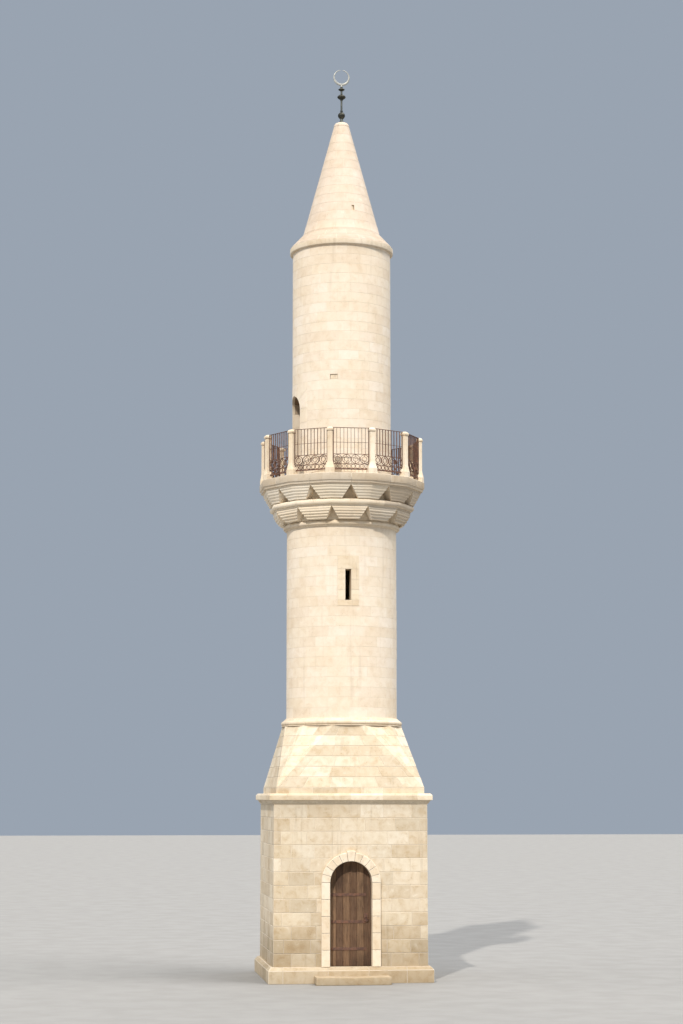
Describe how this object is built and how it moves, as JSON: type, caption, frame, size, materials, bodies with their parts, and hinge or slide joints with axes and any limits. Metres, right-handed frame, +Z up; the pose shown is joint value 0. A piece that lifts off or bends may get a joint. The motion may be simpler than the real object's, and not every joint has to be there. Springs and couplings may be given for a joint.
{
  "type": "minaret",
  "caption": "Limestone minaret with a square base, round shaft, corbelled balcony with iron railing, round upper drum and pointed stone roof with a metal crescent finial.",
  "frame": {"origin": "centre of the square base's underside, at ground level", "axes": "+Z up the tower, the ground entrance and the view of the picture towards -Y, +X to the right of it"},
  "size_m": [3.1876, 3.5241, 18.1827],
  "materials": {
    "wall_stone": "weathered cream limestone",
    "band_stone": "cut cream limestone mouldings",
    "base_stone": "coursed limestone blocks",
    "railing_iron": "dark brown rusty iron",
    "finial_copper": "dark weathered metal",
    "door_timber": "weathered brown planks"
  },
  "bodies": {
    "root": {"plinth": "base_stone", "base_wall_left": "base_stone", "base_wall_right": "base_stone", "base_wall_back": "base_stone", "base_wall_front_left": "base_stone", "base_wall_front_right": "base_stone", "base_wall_over_door": "base_stone", "base_cornice": "base_stone", "entrance_step": "base_stone", "entrance_surround": "band_stone", "shaft_ring": "band_stone", "neck_ring": "band_stone", "corbel_lower": "band_stone", "corbel_band": "band_stone", "corbel_brackets": "band_stone", "balcony_floor": "band_stone", "drum_cornice": "band_stone", "transition": "wall_stone", "shaft_wall_front_lower": "wall_stone", "shaft_wall_front_upper": "wall_stone", "shaft_wall_slit_left": "wall_stone", "shaft_wall_slit_right": "wall_stone", "shaft_wall_right": "wall_stone", "shaft_wall_back": "wall_stone", "shaft_wall_left": "wall_stone", "drum_wall_front": "wall_stone", "drum_wall_right": "wall_stone", "drum_wall_back": "wall_stone", "drum_wall_over_door": "wall_stone", "cone_roof": "wall_stone", "balcony_post_01": "wall_stone", "balcony_post_02": "wall_stone", "balcony_post_03": "wall_stone", "balcony_post_04": "wall_stone", "balcony_post_05": "wall_stone", "balcony_post_06": "wall_stone", "balcony_post_07": "wall_stone", "balcony_post_08": "wall_stone", "balcony_post_09": "wall_stone", "balcony_post_10": "wall_stone", "balcony_post_11": "wall_stone", "balcony_post_12": "wall_stone", "railing_panel_01": "railing_iron", "railing_panel_02": "railing_iron", "railing_panel_03": "railing_iron", "railing_panel_04": "railing_iron", "railing_panel_05": "railing_iron", "railing_panel_06": "railing_iron", "railing_panel_07": "railing_iron", "railing_panel_08": "railing_iron", "railing_panel_09": "railing_iron", "railing_panel_10": "railing_iron", "railing_panel_11": "railing_iron", "railing_panel_12": "railing_iron", "finial_rod": "railing_iron", "finial_ball_lower": "finial_copper", "finial_ball_middle": "finial_copper", "finial_ball_upper": "finial_copper", "finial_crescent": "finial_copper", "entrance_door": "door_timber"}
  },
  "joints": []
}
